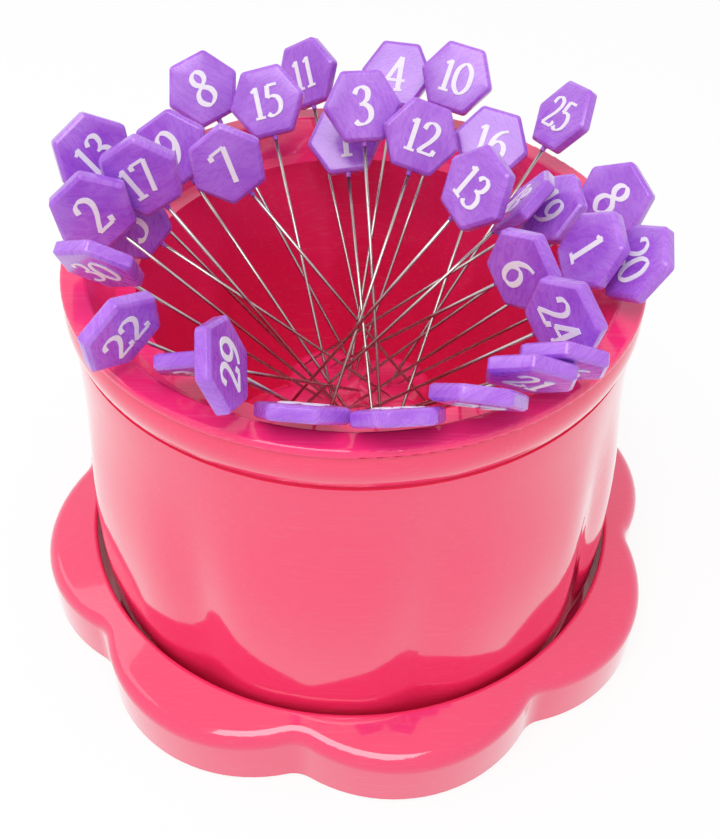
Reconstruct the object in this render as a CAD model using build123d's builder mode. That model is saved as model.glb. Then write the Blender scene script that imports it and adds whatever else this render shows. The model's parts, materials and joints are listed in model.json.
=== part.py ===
from build123d import *
from math import cos, hypot, pi, radians, sin, sqrt
import os

# Magnetic pin bowl: a petalled cup on a flower saucer, with flat-head pins on the magnet tower inside.
# The origin is on the cup's axis, on the surface that the saucer stands on.

# Flower saucer: its lobes and valleys reach this far beyond the well for the cup
petals = 8
saucer_tip_reach = 8.2
saucer_valley_reach = 4.1
saucer_valley_curve = 4.5
saucer_turn = 14.3
saucer_edge_height = 9.3
saucer_hole_height = 11.2
saucer_edge_round = 2.3
saucer_hole_round = 0.6
saucer_skirt = 2.3
saucer_wall = 2.0
saucer_foot_length = 5.0
saucer_foot_width = 1.5
saucer_foot_height = 0.4
well_clearance = 0.7
well_height = 2.8
well_recess = 0.8

# Cup, from its underside to the parting line below the lip
seat_gap = 0.2
rim_radius = 40.0
cup_turn = 15.0
cup_crease = 1.4
shell_height = 51.4
shell_floor = 2.2
shell_wall = 2.5
groove_depth = 0.9
groove_width = 0.8
band_height = 4.7
band_inset = 0.4
band_bulge = 0.5

# Liner, pushed into the cup, with the lip that closes the double wall
lip_height = 1.4
lip_width = 3.3
lip_round = 0.55
cone_width = 3.6
ledge_drop = 4.2
ledge_width = 2.7
liner_wall = 2.0
liner_floor_height = 13.0
liner_turn = 9.5
liner_ridge = 2.5
skirt_depth = 4.0
skirt_wall = 1.5
fit_clearance = 0.05
snap_drop = 2.6
snap_height = 1.2
snap_depth = 0.3

# Magnet tower in the middle of the liner, with the magnet under its roof
tower_petals = 5
tower_turn = 45.0
tower_petal_radius = 6.8
tower_petal_place = 8.6
tower_round = 2.2
tower_middle_radius = 4.2
tower_middle_drop = 1.0
tower_wall = 2.0
tower_roof = 2.2
magnet_radius = 9.0
magnet_thickness = 5.0
magnet_chamfer = 0.5
magnet_clearance = 0.1
post_clearance = 0.5
post_wall = 2.0

# Pins
head_across = 10.0
head_thickness = 2.0
head_bevel = 0.45
neck_length = 1.0
neck_base_radius = 0.9
neck_end_radius = 0.5
shaft_radius = 0.3
shaft_point = 3.0
shaft_point_radius = 0.06
shaft_grip = 3.0
shaft_clearance = 0.01
pin_reach = 49.0
pin_gap = 0.2
rim_gap = 0.2

# How far a cut runs past the face that it opens
overrun = 1.0

# The cup's outer wall from its underside up: the height, the radius and the depth of the
# creases, as shares of the shell's height, the rim's radius and the cup's crease.
cup_form_shares = [
    (0.00, 1.010, 0.30),
    (0.06, 1.030, 0.40),
    (0.18, 1.042, 0.65),
    (0.37, 1.042, 1.00),
    (0.60, 1.022, 0.75),
    (0.86, 0.991, 0.15),
    (1.00, 0.987, 0.00),
]

# The liner's inner wall from its floor to the ledge: the same, as shares of the ledge's
# height above the floor, the wall's radius and the liner's ridge.
liner_form_shares = [
    (0.00, 0.920, 1.00),
    (0.18, 0.945, 0.90),
    (0.40, 0.965, 0.75),
    (0.60, 0.965, 0.50),
    (0.75, 0.965, 0.10),
    (1.00, 1.000, 0.00),
]

# The pins as they stand: where the point rests, as shares of the tower's radius, then in
# degrees the way the shaft leans, how steeply it rises and how far the head turns about it.
pin_place_shares = [
    # Round the back, from the left
    (-0.45, 0.45, -178, 54, -60),
    (-0.20, 0.05, -171, 50, -85),
    (-0.05, -0.20, 175, 56, -85),
    (0.40, 0.10, -179, 41, -75),
    (0.05, -0.30, 143, 45, -50),
    (0.00, 0.55, 139, 50, -30),
    (0.80, 0.05, 162, 49, -65),
    (-0.15, -0.25, 111, 50, -25),
    (0.20, 0.45, 110, 47, -50),
    (0.30, -0.50, 98, 54, 0),
    (0.25, -0.75, 99, 41, -10),
    (-0.05, 0.35, 78, 48, 0),
    (0.00, 0.40, 60, 52, 10),
    (-0.35, -0.75, 63, 49, 30),
    (0.35, -0.65, 65, 45, 10),
    (-0.75, -0.25, 3, 56, 30),
    (0.35, 0.25, 37, 50, -15),
    # Down the right side
    (-0.65, -0.30, 11, 47, -25),
    (-0.55, 0.55, -7, 43, 20),
    (0.05, 0.35, 1, 44, 35),
    (0.00, 0.05, -18, 49, 30),
    (0.45, 0.30, -29, 47, 30),
    (-0.25, 0.55, -41, 47, 80),
    (0.00, -0.15, -39, 48, 80),
    # Lying low along the front
    (0.00, -0.35, -53, 46, -35),
    (0.25, -0.20, -53, 46, -35),
    (0.70, -0.10, -84, 45, -10),
    (0.15, 0.05, -102, 41, 5),
    (-0.50, -0.15, -69, 41, -10),
    # Up the left side
    (-0.70, 0.05, -119, 48, -110),
    (-0.30, 0.05, -147, 50, -145),
    (0.10, 0.20, -122, 41, -155),
    (0.15, -0.60, -122, 51, -60),
]

# Heights and radii that follow from the sizes above
seat_height = well_height + seat_gap
shell_top = seat_height + shell_height
parting_height = shell_top + groove_width + band_height
rim_height = parting_height + lip_height
ledge_height = rim_height - ledge_drop
band_neck_radius = rim_radius - groove_depth
band_edge_radius = rim_radius - band_inset
band_bulge_radius = band_edge_radius + band_bulge
bore_radius = rim_radius - shell_wall
skirt_radius = bore_radius - fit_clearance
lip_inner_radius = rim_radius - lip_width
ledge_radius = lip_inner_radius - cone_width
wall_radius = ledge_radius - ledge_width
cup_widest_share = max(reach for height, reach, fold in cup_form_shares)
well_radius = rim_radius * cup_widest_share + well_clearance
saucer_tip_radius = well_radius + saucer_tip_reach
saucer_valley_radius = well_radius + saucer_valley_reach
tower_radius = tower_petal_place + tower_petal_radius
magnet_pocket_radius = magnet_radius + magnet_clearance
post_radius = magnet_radius - post_clearance


def polar_point(radius, angle):
    return (radius * cos(radians(angle)), radius * sin(radians(angle)))


def below_tower_top(x, y):
    """How far the tower's surface lies below its top, over a point of its plan."""
    depth = tower_middle_drop if hypot(x, y) < tower_middle_radius else rim_height
    for petal in range(tower_petals):
        centre = polar_point(tower_petal_place, tower_turn + petal * 360 / tower_petals)
        distance = hypot(x - centre[0], y - centre[1])
        if distance < tower_petal_radius:
            over = max(0, distance - tower_petal_radius + tower_round)
            depth = min(depth, tower_round - sqrt(tower_round**2 - over**2))
    return depth


def below_rim(radius):
    """How far the liner's top lies below the rim, at a distance from the axis."""
    if radius > rim_radius or radius < wall_radius:
        return rim_height
    if radius < ledge_radius:
        return ledge_drop
    return ledge_drop * max(0, lip_inner_radius - radius) / cone_width


def pin_axes(lean, rise, turn):
    """The directions of a pin: along its shaft, across its head and out of its head's face."""
    lean = radians(lean)
    rise = radians(rise)
    along = Vector(cos(rise) * cos(lean), cos(rise) * sin(lean), sin(rise))
    upward = Vector(-sin(rise) * cos(lean), -sin(rise) * sin(lean), cos(rise))
    facing = upward.rotate(Axis((0, 0, 0), along), turn)
    return along, along.cross(facing), facing


def rest_point(x_share, y_share, along, steps=30):
    """Where a pin's point lies just clear of the tower, with its height from the tower's top."""
    x = x_share * tower_radius
    y = y_share * tower_radius
    height = -rim_height
    for step in range(steps):
        reach = tower_radius * step / steps
        radius = shaft_radius * min(1, reach / shaft_point)
        under = -below_tower_top(x + reach * along.X, y + reach * along.Y) - reach * along.Z
        height = max(height, under + radius / hypot(along.X, along.Y))
    return Vector(x, y, height + pin_gap)


def drop_allowed(x_share, y_share, lean, rise, turn, steps=60):
    """How far below the rim the tower may end before this pin touches the rim."""
    along, across, facing = pin_axes(lean, rise, turn)
    point = rest_point(x_share, y_share, along)
    places = []
    for step in range(steps):
        shaft_place = point + along * (pin_reach * step / steps)
        places.append(shaft_place - Vector(0, 0, shaft_radius / hypot(along.X, along.Y)))
    # The rim of the head's two faces
    for step in range(steps):
        angle = 360 * step / steps
        reach = head_across / 2 / cos(radians((angle + 30) % 60 - 30))
        side, ahead = polar_point(reach, angle + 30)
        for face in (-head_thickness / 2, head_thickness / 2):
            places.append(point + along * (pin_reach + ahead) + across * side + facing * face)
    return min(below_rim(hypot(place.X, place.Y)) + place.Z for place in places)


# The tower stands so high that the lowest of the pins just clears the rim
tower_top = rim_height - min(drop_allowed(*place) for place in pin_place_shares) + rim_gap
magnet_height = tower_top - tower_roof - magnet_clearance - magnet_thickness


def petal_points(radius, crease, turn, points_per_petal=8, sharpness=5):
    """Points of a closed outline of shallow petals with a crease between each two."""
    points = []
    for step in range(petals * points_per_petal):
        angle = 2 * pi * step / (petals * points_per_petal)
        fold = ((1 + cos(petals * angle)) / 2) ** sharpness
        reach = radius - crease * fold
        points.append((reach * cos(angle + radians(turn)), reach * sin(angle + radians(turn))))
    return points


def petal_section(height, radius, crease, turn):
    """One level of a petalled wall, for a loft."""
    with BuildSketch(Plane.XY.offset(height)) as section:
        with BuildLine():
            Spline(petal_points(radius, crease, turn), periodic=True)
        make_face()
    return section.sketch


def petal_sections(form_shares, start, length, radius, crease, turn, wall=0):
    """The levels of a petalled wall, or of its far side, which lies lower and further out."""
    return [
        petal_section(start + height * length - wall, reach * radius + wall, fold * crease, turn)
        for height, reach, fold in form_shares
    ]


def flower_outline(inset):
    """The saucer's outline, or one that lies inside it: round lobes joined by round valleys."""
    lobe_angle = 360 / petals
    valley_place = saucer_valley_radius + saucer_valley_curve
    both = saucer_tip_radius + saucer_valley_curve
    # The place of the lobe's centre at which its arc and the valley's arc are tangent
    lobe_place = (both**2 - valley_place**2) / (2 * (both - valley_place * cos(radians(lobe_angle / 2))))
    meeting_share = (saucer_tip_radius - inset - lobe_place) / (both - lobe_place)
    for lobe in range(petals):
        tip_angle = saucer_turn + lobe * lobe_angle
        lobe_centre = Vector(*polar_point(lobe_place, tip_angle))
        next_lobe_centre = Vector(*polar_point(lobe_place, tip_angle + lobe_angle))
        last_valley_centre = Vector(*polar_point(valley_place, tip_angle - lobe_angle / 2))
        valley_centre = Vector(*polar_point(valley_place, tip_angle + lobe_angle / 2))
        start = lobe_centre + (last_valley_centre - lobe_centre) * meeting_share
        end = lobe_centre + (valley_centre - lobe_centre) * meeting_share
        next_start = next_lobe_centre + (valley_centre - next_lobe_centre) * meeting_share
        ThreePointArc(start, polar_point(saucer_tip_radius - inset, tip_angle), end)
        valley = polar_point(saucer_valley_radius - inset, tip_angle + lobe_angle / 2)
        ThreePointArc(end, valley, next_start)


# Flower saucer: an open-bottomed moulding with a round well for the cup
with BuildPart() as flower_base:
    with BuildSketch():
        with BuildLine():
            flower_outline(0)
        make_face()
    extrude(amount=saucer_hole_height)
    # The top slopes from the hole down to the edge
    slope = (saucer_hole_height - saucer_edge_height) / (saucer_tip_radius - well_radius)
    with BuildSketch(Plane.XZ):
        with BuildLine():
            Polyline(
                (0, 0),
                (saucer_tip_radius + overrun, 0),
                (saucer_tip_radius + overrun, saucer_edge_height - slope * overrun),
                (well_radius, saucer_hole_height),
                (0, saucer_hole_height),
                close=True,
            )
        make_face()
    revolve(axis=Axis.Z, mode=Mode.INTERSECT)
    sloped_top = flower_base.faces().filter_by(GeomType.CONE)
    fillet(sloped_top.edges().filter_by(GeomType.CIRCLE, reverse=True), radius=saucer_edge_round)
    # The well for the cup, and the recess under its floor
    with BuildSketch(Plane.XY.offset(well_height)):
        Circle(well_radius)
    extrude(amount=saucer_hole_height, mode=Mode.SUBTRACT)
    hole_edge = flower_base.edges().filter_by(GeomType.CIRCLE).group_by(Axis.Z)[-1]
    fillet(hole_edge, radius=saucer_hole_round)
    with BuildSketch():
        Circle(well_radius)
    extrude(amount=well_recess, mode=Mode.SUBTRACT)
    # A pocket under each lobe, between the skirt and the well's wall
    with BuildSketch():
        with BuildLine():
            flower_outline(saucer_skirt)
        make_face()
        Circle(well_radius + saucer_wall, mode=Mode.SUBTRACT)
    extrude(amount=saucer_edge_height - saucer_wall, mode=Mode.SUBTRACT)
    # The skirt stands clear of the table on a small foot under the tip of each lobe
    with BuildSketch():
        Circle(saucer_tip_radius + overrun)
        with PolarLocations(saucer_tip_radius - saucer_skirt / 2, petals, start_angle=saucer_turn):
            Rectangle(saucer_foot_width, saucer_foot_length, mode=Mode.SUBTRACT)
    extrude(amount=saucer_foot_height, mode=Mode.SUBTRACT)
flower_base.part.label = "flower_base"


# Cup shell: the petalled outer wall, its band and the post that holds the magnet up
with BuildPart() as cup_shell:
    loft(petal_sections(cup_form_shares, seat_height, shell_height, rim_radius, cup_crease, cup_turn))
    # The band above the groove
    with BuildSketch(Plane.XZ):
        with BuildLine():
            band_start = shell_top + groove_width
            Polyline(
                (band_edge_radius, parting_height),
                (0, parting_height),
                (0, shell_top - overrun),
                (band_neck_radius, shell_top - overrun),
                (band_neck_radius, band_start),
                (band_edge_radius, band_start),
            )
            ThreePointArc(
                (band_edge_radius, band_start),
                (band_bulge_radius, (band_start + parting_height) / 2),
                (band_edge_radius, parting_height),
            )
        make_face()
    revolve(axis=Axis.Z)
    # The bore, with the groove that the liner's snap bead clicks into
    with BuildSketch(Plane.XY.offset(seat_height + shell_floor)):
        Circle(bore_radius)
    extrude(amount=parting_height, mode=Mode.SUBTRACT)
    snap_level = parting_height - snap_drop
    with BuildSketch(Plane.XZ):
        with BuildLine():
            half_groove = snap_height / 2 + fit_clearance
            Polyline(
                (skirt_radius, snap_level - half_groove),
                (bore_radius, snap_level - half_groove),
                (bore_radius + snap_depth + fit_clearance, snap_level),
                (bore_radius, snap_level + half_groove),
                (skirt_radius, snap_level + half_groove),
                close=True,
            )
        make_face()
    revolve(axis=Axis.Z, mode=Mode.SUBTRACT)
    # The post
    with BuildSketch(Plane.XY.offset(seat_height)):
        Circle(post_radius)
        Circle(post_radius - post_wall, mode=Mode.SUBTRACT)
    extrude(amount=magnet_height - seat_height)
cup_shell.part.label = "cup_shell"


# One petal of the magnet tower, on its own axis, from the liner's underside to its domed top
with BuildPart() as tower_petal:
    with BuildSketch(Plane.XY.offset(liner_floor_height - liner_wall)):
        Circle(tower_petal_radius)
    extrude(amount=tower_top - liner_floor_height + liner_wall)
    fillet(tower_petal.edges().group_by(Axis.Z)[-1], radius=tower_round)


# Liner: the petalled inner wall, the ledge, the lip and the hollow flower tower
with BuildPart() as inner_liner:
    liner_form = (
        liner_form_shares,
        liner_floor_height,
        ledge_height - liner_floor_height,
        wall_radius,
        liner_ridge,
        liner_turn,
    )
    loft(petal_sections(*liner_form, wall=liner_wall))
    # The ledge, the cone above it, the lip and the skirt that enters the cup's bore
    cone_run = lip_inner_radius - ledge_radius
    cone_length = hypot(cone_run, ledge_drop)
    under_radius = ledge_radius + liner_wall * ledge_drop / cone_length
    under_height = ledge_height - liner_wall * cone_run / cone_length
    skirt_inner = skirt_radius - skirt_wall
    skirt_top = under_height + (skirt_inner - under_radius) * ledge_drop / cone_run
    with BuildSketch(Plane.XZ):
        with BuildLine():
            Polyline(
                (wall_radius - overrun, ledge_height),
                (ledge_radius, ledge_height),
                (lip_inner_radius, rim_height),
                (rim_radius, rim_height),
                (rim_radius, parting_height),
                (skirt_radius, parting_height),
                (skirt_radius, parting_height - skirt_depth),
                (skirt_inner, parting_height - skirt_depth),
                (skirt_inner, skirt_top),
                (under_radius, under_height),
                (ledge_radius, ledge_height - liner_wall),
                (wall_radius + overrun, ledge_height - liner_wall),
                (wall_radius + overrun, ledge_height - liner_wall - overrun),
                (wall_radius - overrun, ledge_height - liner_wall - overrun),
                close=True,
            )
        lip = make_face()
        lip_corners = lip.vertices().filter_by_position(Axis.Y, rim_height - lip_round, rim_height + lip_round)
        outer_corner = lip.vertices().sort_by(Axis.X)[-2:].sort_by(Axis.Y)[0]
        fillet([*lip_corners, outer_corner], radius=lip_round)
    revolve(axis=Axis.Z)
    with BuildSketch(Plane.XZ):
        with BuildLine():
            Polyline(
                (skirt_radius - skirt_wall / 2, snap_level - snap_height / 2),
                (skirt_radius, snap_level - snap_height / 2),
                (skirt_radius + snap_depth, snap_level),
                (skirt_radius, snap_level + snap_height / 2),
                (skirt_radius - skirt_wall / 2, snap_level + snap_height / 2),
                close=True,
            )
        make_face()
    revolve(axis=Axis.Z)
    # The inside of the bowl
    above_ledge = petal_section(ledge_height + overrun, wall_radius, 0, liner_turn)
    loft([*petal_sections(*liner_form), above_ledge], mode=Mode.SUBTRACT)
    # The tower, hollow from below
    with PolarLocations(tower_petal_place, tower_petals, start_angle=tower_turn):
        add(tower_petal.part)
    with BuildSketch(Plane.XY.offset(liner_floor_height - liner_wall)):
        Circle(tower_middle_radius)
    extrude(amount=tower_top - tower_middle_drop - liner_floor_height + liner_wall)
    with BuildSketch(Plane.XY.offset(tower_top - tower_roof)):
        Circle(magnet_pocket_radius)
        with PolarLocations(tower_petal_place, tower_petals, start_angle=tower_turn):
            Circle(tower_petal_radius - tower_wall)
    extrude(amount=-tower_top, mode=Mode.SUBTRACT)
inner_liner.part.label = "inner_liner"


# Magnet: a plain disc in the tower's pocket
with BuildPart() as magnet:
    with BuildSketch(Plane.XY.offset(magnet_height)):
        Circle(magnet_radius)
    extrude(amount=magnet_thickness)
    chamfer(magnet.edges().filter_by(GeomType.CIRCLE), length=magnet_chamfer)
magnet.part.label = "magnet"


def build_pin(x_share, y_share, lean, rise, turn):
    """A flat-head pin: a moulded six-sided head, and a steel shaft that enters one side of it."""
    along, across, facing = pin_axes(lean, rise, turn)
    centre = rest_point(x_share, y_share, along) + Vector(0, 0, tower_top) + along * pin_reach
    # The plane of the head: x runs across it, y along the shaft
    head_plane = Plane(origin=centre, x_dir=across, z_dir=facing)
    shaft_axis = Axis(centre, along)
    side = -head_across / 2
    with BuildPart() as pin:
        with BuildSketch(head_plane):
            RegularPolygon(radius=head_across / 2, side_count=6, major_radius=False)
        extrude(amount=head_thickness / 2, both=True)
        levels = pin.edges().group_by(Axis(centre, facing))
        chamfer(levels[0] + levels[-1], length=head_bevel)
        # The neck, and the bore that the shaft is moulded into
        with BuildSketch(head_plane):
            with BuildLine():
                Polyline(
                    (0, side + neck_length),
                    (neck_base_radius, side + neck_length),
                    (neck_base_radius, side),
                    (neck_end_radius, side - neck_length),
                    (0, side - neck_length),
                    close=True,
                )
            make_face()
        revolve(axis=shaft_axis)
        with BuildSketch(head_plane):
            with BuildLine():
                bore = shaft_radius + shaft_clearance
                Polyline(
                    (0, side + shaft_grip + shaft_clearance),
                    (bore, side + shaft_grip + shaft_clearance),
                    (bore, side - neck_length - overrun),
                    (0, side - neck_length - overrun),
                    close=True,
                )
            make_face()
        revolve(axis=shaft_axis, mode=Mode.SUBTRACT)
        with BuildSketch(head_plane):
            with BuildLine():
                Polyline(
                    (0, side + shaft_grip),
                    (shaft_radius, side + shaft_grip),
                    (shaft_radius, shaft_point - pin_reach),
                    (shaft_point_radius, -pin_reach),
                    (0, -pin_reach),
                    close=True,
                )
            make_face()
        revolve(axis=shaft_axis)
    return pin


os.makedirs("parts", exist_ok=True)
export_step(flower_base.part, "parts/flower_base.step")
export_step(cup_shell.part, "parts/cup_shell.step")
export_step(inner_liner.part, "parts/inner_liner.step")
export_step(magnet.part, "parts/magnet.step")

for number, place in enumerate(pin_place_shares, start=1):
    pin = build_pin(*place)
    pin.part.label = f"pin_{number:02d}"
    export_step(pin.part, f"parts/pin_{number:02d}.step")
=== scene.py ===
"""Magnetic pin bowl: finishes for the moulded bowl, full flat-head pins and the stage."""
import json
import math

import bpy
from mathutils import Matrix, Vector


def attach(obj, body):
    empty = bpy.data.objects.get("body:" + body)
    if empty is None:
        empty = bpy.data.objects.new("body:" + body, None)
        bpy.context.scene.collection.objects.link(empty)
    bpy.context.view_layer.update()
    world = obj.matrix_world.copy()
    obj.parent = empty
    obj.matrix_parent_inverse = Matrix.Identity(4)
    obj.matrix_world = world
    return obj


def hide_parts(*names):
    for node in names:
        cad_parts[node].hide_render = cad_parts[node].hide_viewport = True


bl_info = {
    "name": "Magnetic Pin Bowl",
    "version": (1, 0, 0),
    "blender": (4, 5, 0),
    "location": "3D View > Sidebar > Pin Bowl",
    "description": "Dresses the magnetic pin bowl: moulded plastic, flat-head pins and a plain stage",
    "category": "Object",
}

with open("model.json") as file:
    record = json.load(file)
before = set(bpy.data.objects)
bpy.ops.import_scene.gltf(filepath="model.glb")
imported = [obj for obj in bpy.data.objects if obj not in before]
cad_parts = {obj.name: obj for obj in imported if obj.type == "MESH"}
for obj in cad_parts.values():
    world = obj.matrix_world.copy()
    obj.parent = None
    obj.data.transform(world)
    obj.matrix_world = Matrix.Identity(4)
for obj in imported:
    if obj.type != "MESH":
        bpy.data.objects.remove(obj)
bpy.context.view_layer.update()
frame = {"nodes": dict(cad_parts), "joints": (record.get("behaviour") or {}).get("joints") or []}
pull_axes = {
    joint["child"]: Vector(joint["axis"]).normalized()
    for joint in frame["joints"]
    if joint["child"].startswith("pin_")
}

# The number on each pin's head, from pin_01 on
pin_numbers = (
    13, 2, 17, 5, 9, 8, 7, 15, 11, 3, 1, 4, 10, 12, 16, 13, 25,
    18, 19, 8, 1, 20, 6, 24, 21, 26, 27, 28, 23, 22, 30, 31, 29,
)

# Digits as pen strokes in a box one unit high: the width of the digit, then its strokes.
# A stroke is smooth through its points unless it is listed as straight.
digit_strokes = {
    "0": (0.60, [("loop", [(0.30, 0.98), (0.10, 0.80), (0.05, 0.50), (0.10, 0.20), (0.30, 0.02),
                           (0.50, 0.20), (0.55, 0.50), (0.50, 0.80)])]),
    "1": (0.46, [("straight", [(0.25, 0.97), (0.25, 0.02)]),
                 ("straight", [(0.27, 0.95), (0.10, 0.84)]),
                 ("straight", [(0.09, 0.02), (0.41, 0.02)])]),
    "2": (0.60, [("smooth", [(0.07, 0.74), (0.13, 0.91), (0.29, 0.98), (0.46, 0.89), (0.49, 0.71),
                             (0.38, 0.47), (0.20, 0.24), (0.06, 0.05)]),
                 ("straight", [(0.05, 0.05), (0.50, 0.05), (0.55, 0.21)])]),
    "3": (0.58, [("smooth", [(0.08, 0.80), (0.15, 0.93), (0.29, 0.98), (0.43, 0.89), (0.42, 0.69),
                             (0.31, 0.57), (0.20, 0.53)]),
                 ("smooth", [(0.20, 0.53), (0.37, 0.51), (0.49, 0.38), (0.48, 0.17), (0.33, 0.03),
                             (0.16, 0.02), (0.07, 0.10)])]),
    "4": (0.62, [("straight", [(0.41, 0.96), (0.05, 0.30), (0.58, 0.30)]),
                 ("straight", [(0.41, 0.98), (0.41, 0.02)]),
                 ("straight", [(0.29, 0.02), (0.53, 0.02)])]),
    "5": (0.58, [("straight", [(0.49, 0.95), (0.18, 0.95), (0.13, 0.58)]),
                 ("smooth", [(0.13, 0.57), (0.27, 0.61), (0.43, 0.55), (0.51, 0.36), (0.45, 0.14),
                             (0.30, 0.03), (0.15, 0.02), (0.06, 0.10)])]),
    "6": (0.60, [("smooth", [(0.49, 0.95), (0.28, 0.84), (0.13, 0.62), (0.08, 0.34), (0.15, 0.11),
                             (0.30, 0.02), (0.46, 0.10), (0.52, 0.29), (0.46, 0.49), (0.31, 0.57),
                             (0.17, 0.50), (0.09, 0.38)])]),
    "7": (0.58, [("straight", [(0.06, 0.80), (0.08, 0.94), (0.52, 0.94), (0.22, 0.02)])]),
    "8": (0.60, [("loop", [(0.30, 0.98), (0.15, 0.88), (0.15, 0.70), (0.30, 0.56), (0.49, 0.40),
                           (0.51, 0.18), (0.30, 0.02), (0.09, 0.18), (0.11, 0.40), (0.30, 0.56),
                           (0.45, 0.70), (0.45, 0.88)])]),
    "9": (0.60, [("smooth", [(0.11, 0.05), (0.32, 0.16), (0.47, 0.38), (0.52, 0.66), (0.45, 0.89),
                             (0.30, 0.98), (0.14, 0.90), (0.08, 0.71), (0.14, 0.51), (0.29, 0.43),
                             (0.43, 0.50), (0.51, 0.62)])]),
}


def colour_property(name, description, value):
    return bpy.props.FloatVectorProperty(
        name=name, description=description, default=value, subtype="COLOR", size=4, min=0, max=1
    )


def number_property(name, description, value, **more):
    return bpy.props.FloatProperty(name=name, description=description, default=value, **more)


def length_property(name, description, value):
    return number_property(name, description, value, min=0, precision=5, unit="LENGTH")


def place_property(name, description, value):
    return bpy.props.FloatVectorProperty(
        name=name, description=description, default=value, subtype="XYZ", unit="LENGTH"
    )


class BowlSettings(bpy.types.PropertyGroup):
    """Colours and gloss of the moulded bowl and its saucer"""

    cup_colour: colour_property("Cup", "Plastic of the outer wall", (0.925, 0.027, 0.127, 1))
    liner_colour: colour_property("Liner", "Plastic of the inner wall and lip", (0.98, 0.028, 0.172, 1))
    saucer_colour: colour_property("Saucer", "Plastic of the flower saucer", (0.87, 0.028, 0.140, 1))
    magnet_colour: colour_property("Magnet", "Bare ferrite", (0.055, 0.055, 0.06, 1))
    haze: number_property("Haze", "Roughness of the gloss plastic", 0.09, min=0, max=1)


class PinSettings(bpy.types.PropertyGroup):
    """Sizes and colours of the flat-head pins"""

    reach: length_property("Reach", "From the point to the middle of the head", 0.049)
    head_across: length_property("Head across", "Across the flats of the head", 0.010)
    head_thickness: length_property("Head thickness", "Thickness of the head", 0.002)
    corner_round: length_property("Corner round", "Radius of the head's six corners", 0.0008)
    bevel: length_property("Bevel", "Width of the bevel round the head's faces", 0.0005)
    crown: length_property("Crown", "How far the face bulges in the middle", 0.00005)
    neck_length: length_property("Neck length", "Length of the neck outside the head", 0.0007)
    neck_radius: length_property("Neck radius", "Radius of the neck at the head", 0.00047)
    shaft_radius: length_property("Shaft radius", "Radius of the steel shaft", 0.00025)
    point_length: length_property("Point length", "Length of the ground point", 0.003)
    number_height: length_property("Number height", "Height of a single digit", 0.0054)
    number_relief: length_property("Number relief", "How far the numbers stand proud", 0.00006)
    head_colour: colour_property("Head", "Pearly plastic of the heads", (0.43, 0.13, 0.77, 1))
    pearl_colour: colour_property("Pearl", "Paler streaks in the heads", (0.70, 0.42, 0.95, 1))
    deep_colour: colour_property("Deep", "Darker clouds in the heads", (0.34, 0.075, 0.66, 1))
    ink_colour: colour_property("Numbers", "White of the numbers", (0.90, 0.87, 0.93, 1))
    steel_colour: colour_property("Steel", "Polished steel of the shafts", (0.50, 0.46, 0.45, 1))


class StageSettings(bpy.types.PropertyGroup):
    """Floor, light and camera"""

    camera_place: place_property("Camera", "Where the camera stands", (0.0012431, -0.1265181, 0.1489073))
    camera_aim: place_property("Aim", "The point in the middle of the picture", (0.0012431, 0.0, 0.02827))
    camera_roll: number_property("Roll", "Turn about the line of sight", math.radians(1.19), subtype="ANGLE")
    lens: number_property("Lens", "Focal length in millimetres for a 36 mm picture height", 47.2, min=1)
    floor_size: length_property("Floor", "Side of the floor", 4.0)
    floor_colour: colour_property("Floor colour", "Pale floor", (0.96, 0.96, 0.96, 1))
    floor_lift: number_property("Floor lift", "How far the seen floor is lifted to white", 0.85, min=0, max=1)
    sky_strength: number_property("Sky", "Strength of the light from all round", 0.66, min=0)
    key_power: number_property("Key", "Power of the large soft lamp", 1.7, min=0, unit="POWER")
    fill_power: number_property("Fill", "Power of the smaller lamp", 0.3, min=0, unit="POWER")


# Node helpers


def add_node(tree, kind, values=None, **settings):
    """A new node with its settings, and its inputs set to values or linked to other sockets."""
    made = tree.nodes.new(kind)
    for name, value in settings.items():
        setattr(made, name, value)
    for name, value in (values or {}).items():
        if isinstance(value, bpy.types.NodeSocket):
            tree.links.new(value, made.inputs[name])
        else:
            made.inputs[name].default_value = value
    return made


def new_group(name, inputs, outputs):
    """An empty shader group with named sockets: its tree, its inputs and its output node."""
    tree = bpy.data.node_groups.new(name, "ShaderNodeTree")
    for label, kind, value in inputs:
        tree.interface.new_socket(label, in_out="INPUT", socket_type=kind).default_value = value
    for label, kind in outputs:
        tree.interface.new_socket(label, in_out="OUTPUT", socket_type=kind)
    return tree, tree.nodes.new("NodeGroupInput").outputs, tree.nodes.new("NodeGroupOutput").inputs


def remapped(tree, value, low, high, start=0.0, end=1.0):
    """value between low and high, stretched to run from start to end."""
    values = {"Value": value, "From Min": low, "From Max": high, "To Min": start, "To Max": end}
    return add_node(tree, "ShaderNodeMapRange", values).outputs["Result"]


def math_node(tree, operation, first, second):
    made = add_node(tree, "ShaderNodeMath", {0: first, 1: second}, operation=operation)
    return made.outputs[0]


def mixed(tree, share, first, second, blend="MIX"):
    """Two colours mixed by a share."""
    made = add_node(tree, "ShaderNodeMix", data_type="RGBA", blend_type=blend)
    for socket, value in zip((made.inputs[0], made.inputs[6], made.inputs[7]), (share, first, second)):
        if isinstance(value, bpy.types.NodeSocket):
            tree.links.new(value, socket)
        else:
            socket.default_value = value
    return made.outputs[2]


def stretched_noise(tree, place, scale, turn=(0, 0, 0), detail=2.0, roughness=0.5, distortion=0.0):
    """Noise on a place that is turned and stretched first."""
    mapping = add_node(tree, "ShaderNodeMapping", {"Vector": place, "Rotation": turn, "Scale": scale})
    values = {"Vector": mapping.outputs[0], "Scale": 1.0, "Detail": detail, "Roughness": roughness}
    values["Distortion"] = distortion
    return add_node(tree, "ShaderNodeTexNoise", values).outputs["Fac"]


def shaded(colour, factor):
    """A colour as a tuple, its parts multiplied by a factor and kept within 1."""
    return tuple(min(1, factor * part) for part in colour[:3]) + (1,)


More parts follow.
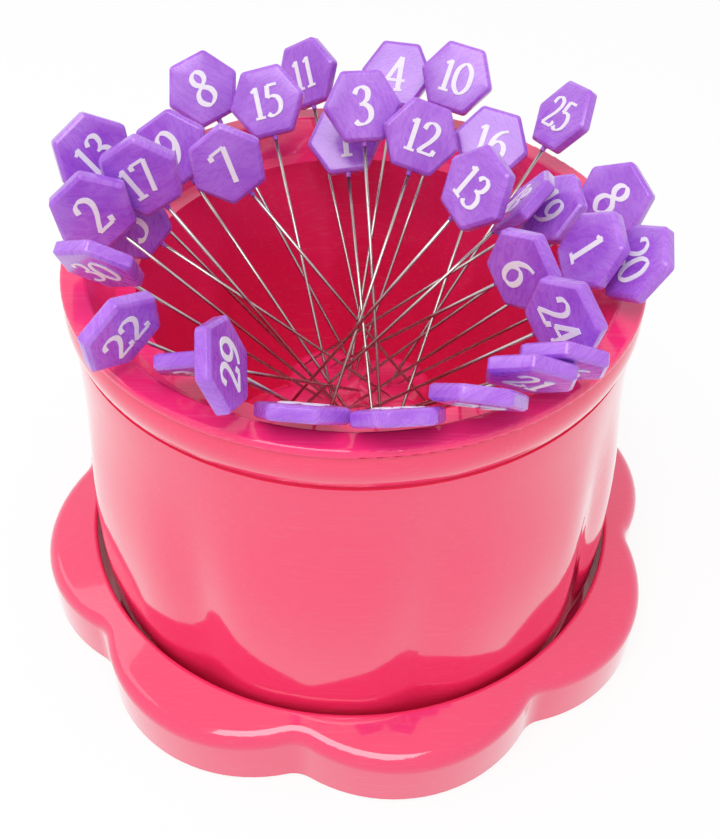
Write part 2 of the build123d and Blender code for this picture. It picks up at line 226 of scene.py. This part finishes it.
def seen_rays(tree):
    """1 for rays from the camera, from mirrors and through glass."""
    ray = add_node(tree, "ShaderNodeLightPath").outputs
    seen = math_node(tree, "MAXIMUM", ray["Is Camera Ray"], ray["Is Glossy Ray"])
    return math_node(tree, "MAXIMUM", seen, ray["Is Transmission Ray"])


def moulded_gloss_group():
    """Gloss moulding: faint clouds of colour, an uneven polish and hairline scratches."""
    tree, given, out = new_group(
        "Moulded gloss",
        [
            ("Colour", "NodeSocketColor", (0.8, 0.1, 0.2, 1)),
            ("Haze", "NodeSocketFloat", 0.15),
            ("Clouding", "NodeSocketFloat", 0.10),
            ("Scratches", "NodeSocketFloat", 0.5),
        ],
        [("Colour", "NodeSocketColor"), ("Roughness", "NodeSocketFloat"), ("Height", "NodeSocketFloat")],
    )
    place = add_node(tree, "ShaderNodeTexCoord").outputs["Object"]
    clouds = stretched_noise(tree, place, (55, 55, 38), detail=3.0)
    fine = stretched_noise(tree, place, (900, 900, 900), detail=3.0)
    ripple = stretched_noise(tree, place, (190, 190, 120), detail=1.0)
    # Hairlines in three directions: only the peaks of a long drawn noise count
    marks = None
    for turn, peak in (((0.3, 0.9, 0.4), 0.70), ((1.2, -0.4, 1.9), 0.71), ((-0.7, 0.2, 2.9), 0.71)):
        lines = stretched_noise(tree, place, (60, 2600, 2600), turn, detail=0.0)
        lines = remapped(tree, lines, peak, peak + 0.04)
        marks = lines if marks is None else math_node(tree, "MAXIMUM", marks, lines)
    marks = math_node(tree, "MULTIPLY", marks, given["Scratches"])
    share = math_node(tree, "MULTIPLY", remapped(tree, clouds, 0.3, 0.7), given["Clouding"])
    darker = mixed(tree, 1.0, given["Colour"], (0.86, 0.62, 0.70, 1), blend="MULTIPLY")
    colour = mixed(tree, share, given["Colour"], darker)
    paler = mixed(tree, 0.25, colour, (1.0, 0.62, 0.70, 1))
    colour = mixed(tree, math_node(tree, "MULTIPLY", marks, 0.5), colour, paler)
    tree.links.new(colour, out["Colour"])
    uneven = math_node(tree, "ADD", given["Haze"], remapped(tree, fine, 0.3, 0.7, -0.02, 0.03))
    uneven = math_node(tree, "ADD", uneven, math_node(tree, "MULTIPLY", marks, 0.18))
    tree.links.new(uneven, out["Roughness"])
    ripple, fine = math_node(tree, "MULTIPLY", ripple, 0.3), math_node(tree, "MULTIPLY", fine, 0.03)
    height = math_node(tree, "ADD", ripple, fine)
    height = math_node(tree, "SUBTRACT", height, math_node(tree, "MULTIPLY", marks, 0.05))
    tree.links.new(height, out["Height"])
    return tree


def pearl_swirl_group():
    """Pearly plastic: fine pale streaks that flow through the head, over darker clouds."""
    tree, given, out = new_group(
        "Pearl swirl",
        [
            ("Colour", "NodeSocketColor", (0.3, 0.1, 0.7, 1)),
            ("Pearl Colour", "NodeSocketColor", (0.5, 0.4, 0.8, 1)),
            ("Deep Colour", "NodeSocketColor", (0.2, 0.05, 0.5, 1)),
            ("Haze", "NodeSocketFloat", 0.25),
        ],
        [("Colour", "NodeSocketColor"), ("Roughness", "NodeSocketFloat"), ("Height", "NodeSocketFloat")],
    )
    place = add_node(tree, "ShaderNodeTexCoord").outputs["UV"]
    bend = add_node(tree, "ShaderNodeTexNoise", {"Vector": place, "Scale": 2.2, "Detail": 2.0}).outputs["Color"]
    reach = (0.22, 0.22, 0.22)  # how far the streaks are bent aside
    bend = add_node(tree, "ShaderNodeVectorMath", {0: bend, 1: reach}, operation="MULTIPLY").outputs[0]
    flow = add_node(tree, "ShaderNodeVectorMath", {0: place, 1: bend}, operation="ADD").outputs[0]
    clouds = stretched_noise(tree, flow, (1.6, 1.2, 1), detail=2.0)
    streaks = stretched_noise(tree, flow, (15, 5, 1), detail=7.0, roughness=0.74, distortion=0.35)
    sparkle = stretched_noise(tree, place, (60, 60, 1), detail=3.0, roughness=0.7)
    colour = mixed(tree, remapped(tree, clouds, 0.36, 0.66), given["Deep Colour"], given["Colour"])
    strength = remapped(tree, clouds, 0.38, 0.70, 0.15, 0.5)
    pearl = math_node(tree, "MULTIPLY", remapped(tree, streaks, 0.42, 0.78), strength)
    colour = mixed(tree, pearl, colour, given["Pearl Colour"])
    colour = mixed(tree, remapped(tree, sparkle, 0.56, 0.78, 0.0, 0.3), colour, given["Pearl Colour"])
    tree.links.new(colour, out["Colour"])
    rough = math_node(tree, "ADD", given["Haze"], remapped(tree, streaks, 0.35, 0.65, -0.05, 0.08))
    tree.links.new(rough, out["Roughness"])
    streaks, clouds = math_node(tree, "MULTIPLY", streaks, 0.4), math_node(tree, "MULTIPLY", clouds, 0.9)
    height = math_node(tree, "ADD", streaks, clouds)
    tree.links.new(height, out["Height"])
    return tree


def new_material(name, shown_colour, constants):
    """A material with only the Principled shader, whose sockets take the constants."""
    material = bpy.data.materials.new(name)
    material.use_nodes = True
    material.diffuse_color = shown_colour
    shader = material.node_tree.nodes["Principled BSDF"]
    for socket, value in constants.items():
        shader.inputs[socket].default_value = value
    return material, material.node_tree, shader


def finish_surface(tree, shader, finish, bump_distance, bump_strength=0.4):
    """Colour, roughness and bump from a group's outputs or from a table of sockets."""
    tree.links.new(finish["Colour"], shader.inputs["Base Color"])
    tree.links.new(finish["Roughness"], shader.inputs["Roughness"])
    values = {"Height": finish["Height"], "Distance": bump_distance, "Strength": bump_strength}
    tree.links.new(add_node(tree, "ShaderNodeBump", values).outputs[0], shader.inputs["Normal"])


def group_node(tree, group, values):
    made = add_node(tree, "ShaderNodeGroup", node_tree=group)
    for name, value in values.items():
        made.inputs[name].default_value = value
    return made.outputs


def gloss_plastic(name, colour, haze, coat=1.0, clouding=0.1, scratches=0.15):
    constants = {"IOR": 1.5, "Coat Weight": coat, "Coat Roughness": 0.02}
    material, tree, shader = new_material(name, colour, constants)
    group = bpy.data.node_groups.get("Moulded gloss") or moulded_gloss_group()
    values = {"Colour": colour, "Haze": haze, "Clouding": clouding, "Scratches": scratches}
    finish_surface(tree, shader, group_node(tree, group, values), 0.00012)
    return material


def pearl_plastic(pins):
    constants = {"IOR": 1.5, "Coat Weight": 0.6, "Coat Roughness": 0.16}
    constants.update({"Subsurface Weight": 0.12, "Subsurface Scale": 0.002})
    material, tree, shader = new_material("Pearl violet plastic", pins.head_colour, constants)
    group = bpy.data.node_groups.get("Pearl swirl") or pearl_swirl_group()
    values = {"Colour": pins.head_colour, "Pearl Colour": pins.pearl_colour}
    values.update({"Deep Colour": pins.deep_colour, "Haze": 0.27})
    finish_surface(tree, shader, group_node(tree, group, values), 0.00004)
    return material


def drawn_steel(pins):
    """Polished wire: fine lines along it, and faint darker stretches."""
    material, tree, shader = new_material("Drawn steel", pins.steel_colour, {"Metallic": 1.0})
    place = add_node(tree, "ShaderNodeTexCoord").outputs["UV"]
    lines = stretched_noise(tree, place, (26, 1.5, 1), detail=3.0)
    stains = stretched_noise(tree, place, (1.0, 4.0, 1), detail=4.0)
    stained = remapped(tree, stains, 0.45, 0.75, 0.0, 0.7)
    colour = mixed(tree, stained, tuple(pins.steel_colour), shaded(pins.steel_colour, 0.72))
    finish = {"Colour": colour, "Roughness": remapped(tree, lines, 0.3, 0.7, 0.16, 0.30), "Height": lines}
    finish_surface(tree, shader, finish, 0.00001, 0.5)
    return material


def stamped_ink(pins):
    """White stamping foil: slightly uneven, with faint bare specks."""
    material, tree, shader = new_material("Stamped white", pins.ink_colour, {"IOR": 1.45})
    place = add_node(tree, "ShaderNodeTexCoord").outputs["Object"]
    grain = stretched_noise(tree, place, (2600, 2600, 2600), detail=3.0)
    worn = remapped(tree, grain, 0.52, 0.72, 0.0, 0.6)
    colour = mixed(tree, worn, tuple(pins.ink_colour), shaded(pins.ink_colour, 0.86))
    finish = {"Colour": colour, "Roughness": remapped(tree, grain, 0.3, 0.7, 0.35, 0.55), "Height": grain}
    finish_surface(tree, shader, finish, 0.00001)
    return material


def bare_ferrite(bowl):
    """Pressed and ground ferrite: grey grain with small pits."""
    material, tree, shader = new_material("Bare ferrite", bowl.magnet_colour, {"Metallic": 0.35})
    place = add_node(tree, "ShaderNodeTexCoord").outputs["Object"]
    grain = stretched_noise(tree, place, (1500, 1500, 1500), detail=4.0, roughness=0.7)
    pale = remapped(tree, grain, 0.4, 0.75)
    colour = mixed(tree, pale, tuple(bowl.magnet_colour), shaded(bowl.magnet_colour, 2.4))
    finish = {"Colour": colour, "Roughness": remapped(tree, grain, 0.3, 0.7, 0.42, 0.66), "Height": grain}
    finish_surface(tree, shader, finish, 0.00004, 0.6)
    return material


def dress_node(node, material):
    """Gives a CAD node's every slot this material."""
    for slot in frame["nodes"][node].material_slots:
        slot.material = material


# Pin meshes, in the pin's own axes: x across the head, y along the shaft to the head, z out of the face

least_corner = 0.00004  # no corner of a head is sharper than this
bevel_slope = 0.8  # how deep the bevel goes for its width
shaft_in_head = 0.002  # how far the shaft reaches into the head
number_sunk = 0.00003  # how far a number's foot lies under the flat of the face
stroke_step = 0.00001  # how much higher each further stroke lies, so that no two tops are level
pen_tilt = math.radians(14)  # how the broad pen's nib is held
pen_thin, pen_spread = 0.029, 0.048  # half its thinnest stroke, and what the thickest adds, in digit heights


def hexagon_ring(half_across, corner, height, steps=5):
    """A six-sided outline with round corners, two of whose flats cross the y axis."""
    ring = []
    corner = max(corner, least_corner)
    corner_place = (half_across - corner) / math.cos(math.pi / 6)
    for side in range(6):
        middle = math.radians(60 * side)
        for step in range(steps + 1):
            angle = middle + math.radians(60 * step / steps - 30)
            x = corner_place * math.cos(middle) + corner * math.cos(angle)
            y = corner_place * math.sin(middle) + corner * math.sin(angle)
            ring.append((x, y, height))
    return ring


def circle_ring(radius, y, sides):
    """A circle across the y axis."""
    turns = [2 * math.pi * k / sides for k in range(sides)]
    return [(radius * math.cos(turn), y, radius * math.sin(turn)) for turn in turns]


def add_tube(points, faces, rings):
    """Joins rings of equal counts with quads and closes the ends, each round a point in its middle."""
    start = len(points)
    count = len(rings[0])
    for ring in rings:
        points.extend(ring)
    for level in range(len(rings) - 1):
        low = start + level * count
        for k in range(count):
            following = (k + 1) % count
            faces.append((low + k, low + following, low + count + following, low + count + k))
    for ring, level in ((rings[0], 0), (rings[-1], len(rings) - 1)):
        points.append(tuple(sum(p[axis] for p in ring) / count for axis in range(3)))
        centre = len(points) - 1
        low = start + level * count
        for k in range(count):
            following = (k + 1) % count
            turn = (low + k, low + following, centre)
            faces.append(turn if level else turn[::-1])


def head_shape(pins):
    """The head with its neck, as points and faces."""
    points, faces = [], []
    half = pins.head_thickness / 2
    # From the side over the bevel to the face: how far in and how far down, as shares of the bevel
    edge = [(0, 1.0), (0.02, 0.88), (0.10, 0.76), (0.84, 0.10), (0.98, 0.02), (1.15, 0)]
    side = [(pins.bevel * inset, half - pins.bevel * bevel_slope * depth) for inset, depth in edge]
    side.append((pins.head_across * 0.2, half + pins.crown * 0.7))  # a ring on the way up the crown
    levels = [(inset, -height) for inset, height in reversed(side)] + side
    across = pins.head_across / 2
    rings = [hexagon_ring(across - inset, pins.corner_round - inset * 0.6, height) for inset, height in levels]
    add_tube(points, faces, rings)
    for centre in (points[-2], points[-1]):
        raised = (centre[0], centre[1], math.copysign(half + pins.crown, centre[2]))
        points[points.index(centre)] = raised
    neck = [
        (pins.neck_radius, -across + pins.neck_length),
        (pins.neck_radius, -across - 0.00005),
        (pins.neck_radius * 0.8, -across - pins.neck_length * 0.3),
        (pins.shaft_radius * 1.6, -across - pins.neck_length * 0.85),
        (pins.shaft_radius * 1.25, -across - pins.neck_length),
    ]
    add_tube(points, faces, [circle_ring(radius, y, 16) for radius, y in neck])
    return points, faces


def shaft_shape(pins):
    """The steel shaft, from inside the head to its ground point."""
    points, faces = [], []
    top = -pins.head_across / 2 + shaft_in_head
    tip = -pins.reach
    point = ((1.0, 1.0), (0.93, 0.8), (0.62, 0.38), (0.34, 0.1), (0.14, 0.0))
    profile = [(1.0, top), (1.0, (top + tip) / 2)]
    profile += [(share, tip + pins.point_length * height) for share, height in point]
    add_tube(points, faces, [circle_ring(share * pins.shaft_radius, y, 14) for share, y in profile])
    return points, faces


def smooth_line(points, closed, steps=7):
    """Points along a smooth line through the given ones."""
    count = len(points)
    line = []
    for k in range(count if closed else count - 1):
        if closed:
            a, b, c, d = (points[(k + shift) % count] for shift in (-1, 0, 1, 2))
        else:
            b, c = points[k], points[k + 1]
            a = points[k - 1] if k else b
            d = points[k + 2] if k + 2 < count else c
        for step in range(steps):
            t = step / steps
            line.append(tuple(
                0.5 * (
                    2 * b[i]
                    + (c[i] - a[i]) * t
                    + (2 * a[i] - 5 * b[i] + 4 * c[i] - d[i]) * t**2
                    + (3 * b[i] - a[i] - 3 * c[i] + d[i]) * t**3
                )
                for i in range(2)
            ))
    if not closed:
        line.append(points[-1])
    return line


def pen_half_width(direction):
    """Half the width of a broad pen's stroke, in digit heights: thick down, thin across."""
    cross = abs(direction[0] * math.sin(pen_tilt) - direction[1] * math.cos(pen_tilt))
    return pen_thin + pen_spread * cross


def add_stroke(points, faces, line, closed, place, low, high):
    """One pen stroke as a thin raised ribbon. place turns digit units into the head's x and y.

    Its top climbs a little along the line, so that it isn't level with itself where it crosses itself.
    """
    count = len(line)
    start = len(points)
    for k, point in enumerate(line):
        before = line[k - 1] if k or closed else point
        after = line[(k + 1) % count] if k + 1 < count or closed else point
        along = Vector((after[0] - before[0], after[1] - before[1])).normalized()
        half = pen_half_width(along)
        left = place(point[0] - along.y * half, point[1] + along.x * half)
        right = place(point[0] + along.y * half, point[1] - along.x * half)
        top = high + stroke_step * k / count
        points.extend([(*left, low), (*left, top), (*right, top), (*right, low)])
    for k in range(count if closed else count - 1):
        a, b = start + 4 * k, start + 4 * ((k + 1) % count)
        for i in range(3):
            faces.append((a + i, a + i + 1, b + i + 1, b + i))
    if not closed:
        last = start + 4 * (count - 1)
        faces.append((start, start + 3, start + 2, start + 1))
        faces.append((last, last + 1, last + 2, last + 3))


def number_shape(number, pins):
    """A plain number in raised pen strokes, its foot towards the shaft."""
    points, faces = [], []
    digits = str(number)
    height = pins.number_height * (1 if len(digits) == 1 else 0.88)
    widths = [digit_strokes[digit][0] for digit in digits]
    low = pins.head_thickness / 2 - number_sunk
    high = pins.head_thickness / 2 + pins.crown + pins.number_relief
    start = -sum(widths) / 2
    for digit, width in zip(digits, widths):
        def place(x, y, start=start):
            return ((start + x) * height, (y - 0.5) * height)
        for kind, stroke in digit_strokes[digit][1]:
            if kind == "straight":
                for a, b in zip(stroke, stroke[1:]):
                    add_stroke(points, faces, [a, b], False, place, low, high)
                    high += stroke_step
            else:
                closed = kind == "loop"
                add_stroke(points, faces, smooth_line(stroke, closed), closed, place, low, high)
                high += stroke_step
        start += width
    return points, faces


def new_piece(name, shape, axes, material, shift, turn=0.0, smooth=True):
    """A mesh object at the origin whose points are placed by the pin's axes.

    Its UV is in centimetres, turned and shifted, so that no two heads show the same streaks.
    """
    points, faces = shape
    mesh = bpy.data.meshes.new(name)
    mesh.from_pydata([axes @ Vector(point) for point in points], [], faces)
    layer = mesh.uv_layers.new(name="UVMap")
    for loop in mesh.loops:
        x, y, z = points[loop.vertex_index]
        u, v = 100 * (x + z), 100 * (y + 0.6 * z)
        turned = (u * math.cos(turn) - v * math.sin(turn), u * math.sin(turn) + v * math.cos(turn))
        layer.data[loop.index].uv = (turned[0] + shift, turned[1] + 0.37 * shift)
    mesh.polygons.foreach_set("use_smooth", [smooth] * len(mesh.polygons))
    mesh.materials.append(material)
    mesh.validate()
    mesh.update()
    piece = bpy.data.objects.new(name, mesh)
    bpy.context.scene.collection.objects.link(piece)
    return piece


def pin_axes(node, axis, reach, viewer):
    """The pin's own axes, read from its CAD node: the middle of the head, and which way its face looks."""
    mesh = frame["nodes"][node].data
    heights = [(vertex.co.dot(axis), vertex.co) for vertex in mesh.vertices]
    lowest = min(height for height, place in heights)
    ends = [place for height, place in heights if height < lowest + 0.00001]
    tip = sum(ends, Vector()) / len(ends)
    middle = tip + reach * axis
    # The face is the largest polygon of the head that lies along the shaft
    nearby = [polygon for polygon in mesh.polygons if (polygon.center - middle).length < 0.25 * reach]
    along = [polygon for polygon in nearby if abs(polygon.normal.dot(axis)) < 0.01]
    face = max(along, key=lambda polygon: polygon.area)
    out = face.normal - face.normal.dot(axis) * axis
    out = out.normalized() * (1 if out.dot(viewer - middle) > 0 else -1)
    across = axis.cross(out)
    return Matrix.Translation(middle) @ Matrix((across, axis, out)).transposed().to_4x4()


# Operators


class PINBOWL_OT_saucer(bpy.types.Operator):
    """Finish the flower saucer"""

    bl_idname = "pin_bowl.saucer"
    bl_label = "Saucer"

    def execute(self, context):
        bowl = context.scene.pin_bowl
        dress_node("flower_base", gloss_plastic("Saucer plastic", bowl.saucer_colour, bowl.haze))
        return {"FINISHED"}


class PINBOWL_OT_cup(bpy.types.Operator):
    """Finish the petalled cup"""

    bl_idname = "pin_bowl.cup"
    bl_label = "Cup"

    def execute(self, context):
        bowl = context.scene.pin_bowl
        dress_node("cup_shell", gloss_plastic("Cup plastic", bowl.cup_colour, bowl.haze))
        return {"FINISHED"}


class PINBOWL_OT_liner(bpy.types.Operator):
    """Finish the liner with its lip and magnet tower"""

    bl_idname = "pin_bowl.liner"
    bl_label = "Liner"

    def execute(self, context):
        bowl = context.scene.pin_bowl
        haze = bowl.haze + 0.03  # the inside is a little duller
        worn = {"coat": 0.3, "clouding": 0.25, "scratches": 0.3}
        dress_node("inner_liner", gloss_plastic("Liner plastic", bowl.liner_colour, haze, **worn))
        return {"FINISHED"}


class PINBOWL_OT_magnet(bpy.types.Operator):
    """Finish the magnet inside the tower"""

    bl_idname = "pin_bowl.magnet"
    bl_label = "Magnet"

    def execute(self, context):
        dress_node("magnet", bare_ferrite(context.scene.pin_bowl))
        return {"FINISHED"}


class PINBOWL_OT_pins(bpy.types.Operator):
    """Build the flat-head pins with their numbers"""

    bl_idname = "pin_bowl.pins"
    bl_label = "Pins"

    def execute(self, context):
        pins = context.scene.pin_bowl_pins
        viewer = Vector(context.scene.pin_bowl_stage.camera_place)
        plastic, steel, ink = pearl_plastic(pins), drawn_steel(pins), stamped_ink(pins)
        head, shaft = head_shape(pins), shaft_shape(pins)
        if len(pull_axes) != len(pin_numbers):
            raise ValueError("every pin needs one number")
        for place, (node, number) in enumerate(zip(sorted(pull_axes), pin_numbers)):
            axes = pin_axes(node, pull_axes[node], pins.reach, viewer)
            head_piece = new_piece(f"{node}_head", head, axes, plastic, 1.7 * place, turn=2.4 * place)
            shaft_piece = new_piece(f"{node}_shaft", shaft, axes, steel, 0.6 * place)
            number_piece = new_piece(f"{node}_number", number_shape(number, pins), axes, ink, 0, smooth=False)
            for piece in (head_piece, shaft_piece, number_piece):
                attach(piece, node)
            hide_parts(node)
            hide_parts(node)
        return {"FINISHED"}


class PINBOWL_OT_stage(bpy.types.Operator):
    """Set up the floor, the light and the camera"""

    bl_idname = "pin_bowl.stage"
    bl_label = "Stage"

    def execute(self, context):
        stage = context.scene.pin_bowl_stage
        context.scene.view_settings.view_transform = "Standard"
        self.lay_floor(context, stage)
        self.set_light(context, stage)
        self.set_camera(context, stage)
        return {"FINISHED"}

    def lay_floor(self, context, stage):
        half = stage.floor_size / 2
        mesh = bpy.data.meshes.new("Floor")
        corners = [(-half, -half, 0), (half, -half, 0), (half, half, 0), (-half, half, 0)]
        mesh.from_pydata(corners, [], [(0, 1, 2, 3)])
        constants = {"Roughness": 0.6, "Specular IOR Level": 0.2}
        material, tree, shader = new_material("Pale floor", stage.floor_colour, constants)
        place = add_node(tree, "ShaderNodeTexCoord").outputs["Object"]
        grain = stretched_noise(tree, place, (30, 30, 30), detail=3.0)
        colour = mixed(tree, grain, tuple(stage.floor_colour), shaded(stage.floor_colour, 1.02))
        tree.links.new(colour, shader.inputs["Base Color"])
        # What the camera and mirrors see of the floor is lifted towards white
        glow = add_node(tree, "ShaderNodeEmission", {"Color": (1, 1, 1, 1), "Strength": 1.0}).outputs[0]
        share = math_node(tree, "MULTIPLY", seen_rays(tree), stage.floor_lift)
        blend = add_node(tree, "ShaderNodeMixShader", {0: share, 1: shader.outputs[0], 2: glow})
        tree.links.new(blend.outputs[0], tree.nodes["Material Output"].inputs["Surface"])
        mesh.materials.append(material)
        floor = bpy.data.objects.new("Floor", mesh)
        context.scene.collection.objects.link(floor)

    def set_light(self, context, stage):
        world = bpy.data.worlds.new("Studio")
        world.use_nodes = True
        context.scene.world = world
        tree = world.node_tree
        background = tree.nodes["Background"]
        background.inputs["Color"].default_value = (1, 1, 1, 1)
        strength = remapped(tree, seen_rays(tree), 0, 1, stage.sky_strength, 1.0)
        tree.links.new(strength, background.inputs["Strength"])
        for name, place, size, power in (
            ("Key lamp", (-0.06, -0.22, 0.58), 0.36, stage.key_power),
            ("Fill lamp", (-0.42, 0.10, 0.42), 0.30, stage.fill_power),
        ):
            lamp = bpy.data.lights.new(name, "AREA")
            lamp.energy = power
            lamp.size = size
            made = bpy.data.objects.new(name, lamp)
            made.location = place
            towards_bowl = Vector((0, 0, 0.03)) - Vector(place)
            made.rotation_euler = towards_bowl.to_track_quat("-Z", "Y").to_euler()
            context.scene.collection.objects.link(made)

    def set_camera(self, context, stage):
        camera = bpy.data.cameras.new("Camera")
        camera.lens = stage.lens
        camera.sensor_fit = "AUTO"
        camera.sensor_width = 36
        camera.clip_start = 0.01
        made = bpy.data.objects.new("Camera", camera)
        place, aim = Vector(stage.camera_place), Vector(stage.camera_aim)
        back = (place - aim).normalized()
        right = Vector((0, 0, 1)).cross(back).normalized()
        right = Matrix.Rotation(stage.camera_roll, 3, back) @ right
        turn = Matrix((right, back.cross(right), back)).transposed()
        made.matrix_world = Matrix.Translation(place) @ turn.to_4x4()
        context.scene.collection.objects.link(made)
        context.scene.camera = made


class PINBOWL_PT_panel(bpy.types.Panel):
    """Pin bowl tools in the sidebar"""

    bl_label = "Magnetic Pin Bowl"
    bl_idname = "PINBOWL_PT_panel"
    bl_space_type = "VIEW_3D"
    bl_region_type = "UI"
    bl_category = "Pin Bowl"

    def draw(self, context):
        for settings in (context.scene.pin_bowl, context.scene.pin_bowl_pins, context.scene.pin_bowl_stage):
            box = self.layout.box()
            for name in settings.bl_rna.properties.keys():
                if name not in ("rna_type", "name"):
                    box.prop(settings, name)
        for operator in operators:
            self.layout.operator(operator.bl_idname)


operators = (
    PINBOWL_OT_saucer,
    PINBOWL_OT_cup,
    PINBOWL_OT_liner,
    PINBOWL_OT_magnet,
    PINBOWL_OT_pins,
    PINBOWL_OT_stage,
)
classes = (BowlSettings, PinSettings, StageSettings, *operators, PINBOWL_PT_panel)


def register():
    for made in classes:
        bpy.utils.register_class(made)
    bpy.types.Scene.pin_bowl = bpy.props.PointerProperty(type=BowlSettings)
    bpy.types.Scene.pin_bowl_pins = bpy.props.PointerProperty(type=PinSettings)
    bpy.types.Scene.pin_bowl_stage = bpy.props.PointerProperty(type=StageSettings)


def unregister():
    del bpy.types.Scene.pin_bowl_stage
    del bpy.types.Scene.pin_bowl_pins
    del bpy.types.Scene.pin_bowl
    for made in reversed(classes):
        bpy.utils.unregister_class(made)


def main():
    register()
    bpy.ops.pin_bowl.saucer()
    bpy.ops.pin_bowl.cup()
    bpy.ops.pin_bowl.liner()
    bpy.ops.pin_bowl.magnet()
    bpy.ops.pin_bowl.pins()
    bpy.ops.pin_bowl.stage()


if __name__ == "__main__":
    main()
